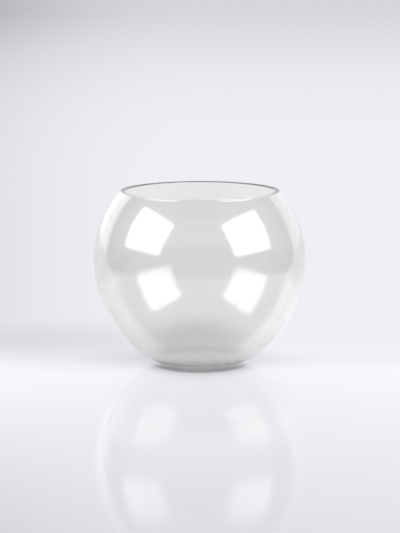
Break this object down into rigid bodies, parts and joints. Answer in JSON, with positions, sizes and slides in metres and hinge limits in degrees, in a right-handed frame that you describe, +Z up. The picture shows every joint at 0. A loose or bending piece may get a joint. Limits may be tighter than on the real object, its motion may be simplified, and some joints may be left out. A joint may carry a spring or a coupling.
{
  "type": "rose bowl vase",
  "caption": "Round clear blown-glass rose bowl with a wide flat-ground mouth, for floating flowers or short-stemmed arrangements.",
  "frame": {"origin": "middle of the ring that the bowl stands on, at table height", "axes": "+Z up along the bowl's axis of revolution; X and Y are any two level directions"},
  "size_m": [0.152, 0.152, 0.1243],
  "materials": {
    "clear_glass": "clear, fire-polished"
  },
  "bodies": {
    "root": {"glass_bowl": "clear_glass"}
  },
  "joints": []
}
